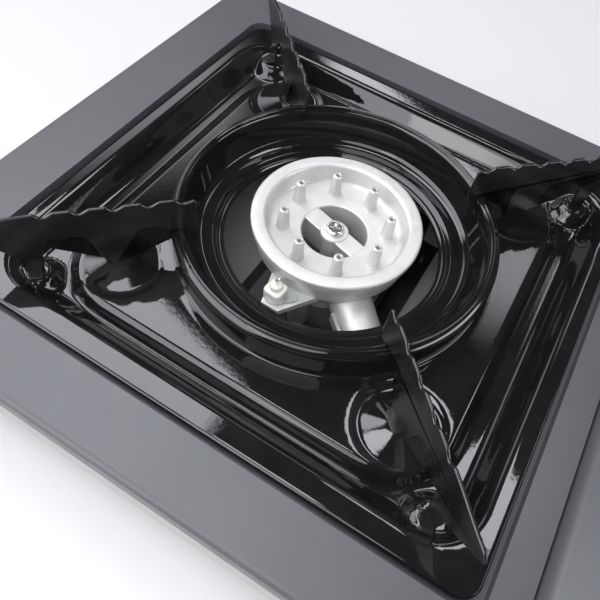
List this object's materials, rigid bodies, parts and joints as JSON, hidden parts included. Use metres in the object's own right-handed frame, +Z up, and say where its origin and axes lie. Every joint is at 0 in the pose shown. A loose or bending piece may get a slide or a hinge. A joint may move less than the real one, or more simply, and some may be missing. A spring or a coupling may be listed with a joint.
{
  "type": "butane cassette stove",
  "caption": "Portable tabletop gas stove: pressed case, enamelled drip pan with pot supports, cast burner, cartridge bay with hinged lid, dial knob with piezo ignition and cartridge lock lever.",
  "frame": {"origin": "centre of the whole outline seen from above, at table height", "axes": "+X to the user's right across the cartridge bay, +Y to the back away from the user, +Z up; the knob faces -Y"},
  "size_m": [0.344, 0.292, 0.1015],
  "materials": {
    "plate_grey": "satin charcoal baked paint",
    "case_silver": "satin pale silver paint",
    "enamel_black": "glossy black porcelain enamel with slight orange peel",
    "channel_black": "matt black paint",
    "cast_aluminium": "die cast, satin",
    "pipe_aluminium": "drawn tube",
    "cast_zinc": "die cast zinc, satin",
    "zinc_steel": "zinc plated sheet steel",
    "screw_steel": "plated steel",
    "brass": "turned",
    "white_ceramic": "glazed",
    "black_plastic": "fine texture",
    "cam_plastic": "moulded",
    "lead_rubber": "silicone insulation",
    "seal_rubber": "smooth",
    "foot_rubber": "moulded"
  },
  "bodies": {
    "chassis": {"bay_bulkhead": "zinc_steel", "bay_partition": "zinc_steel", "burner_base": "cast_aluminium", "burner_cap": "cast_aluminium", "burner_channel": "channel_black", "burner_screw": "screw_steel", "carriage_guides": "zinc_steel", "cartridge_saddle_1": "zinc_steel", "cartridge_saddle_2": "zinc_steel", "case_screws": "screw_steel", "diaphragm_housing": "cast_zinc", "electrode_ceramic": "white_ceramic", "electrode_pin": "screw_steel", "electrode_strap": "zinc_steel", "foot_1": "foot_rubber", "foot_2": "foot_rubber", "foot_3": "foot_rubber", "foot_4": "foot_rubber", "gas_nozzle": "brass", "gas_pipe": "pipe_aluminium", "hinge_pin": "screw_steel", "ignition_lead": "lead_rubber", "lead_clips": "black_plastic", "lever_guide": "zinc_steel", "lower_case": "case_silver", "nozzle_bracket": "zinc_steel", "piezo_body": "black_plastic", "piezo_bracket": "zinc_steel", "regulator_body": "cast_zinc", "regulator_screws": "screw_steel", "socket_seal": "seal_rubber", "top_plate": "plate_grey"},
    "pan": {"drip_pan": "enamel_black", "pot_support_1": "enamel_black", "pot_support_2": "enamel_black", "pot_support_3": "enamel_black", "pot_support_4": "enamel_black"},
    "knob": {"knob": "black_plastic", "valve_shaft": "screw_steel", "ignition_cam": "cam_plastic"},
    "plunger": {"piezo_plunger": "screw_steel"},
    "lid": {"lid": "plate_grey"},
    "lever": {"lock_lever": "zinc_steel", "lever_grip": "black_plastic"},
    "carriage": {"carriage": "zinc_steel"}
  },
  "joints": [
    {"name": "pan_lift", "type": "slide", "parent": "chassis", "child": "pan", "axis": [0, 0, 1], "range_m": [0, 0.04]},
    {"name": "knob_turn", "type": "hinge", "parent": "chassis", "child": "knob", "pos_m": [0.135, -0.116, 0.0445], "axis": [0, -1, 0], "range_deg": [0, 95]},
    {"name": "igniter_press", "type": "slide", "parent": "chassis", "child": "plunger", "axis": [-1, 0, 0], "range_m": [0, 0.004]},
    {"name": "lid_hinge", "type": "hinge", "parent": "chassis", "child": "lid", "pos_m": [0.1699, 0.008, 0.061], "axis": [0, 1, 0], "range_deg": [0, 95]},
    {"name": "lock_lever_press", "type": "slide", "parent": "chassis", "child": "lever", "axis": [0, 0, -1], "range_m": [0, 0.018]},
    {"name": "carriage_slide", "type": "slide", "parent": "chassis", "child": "carriage", "axis": [0, -1, 0], "range_m": [0, 0.008]}
  ],
  "couplings": [
    {"joint": "igniter_press", "follows": "knob_turn", "m_per_rad": 0.002412},
    {"joint": "carriage_slide", "follows": "lock_lever_press", "ratio": 0.4444}
  ]
}
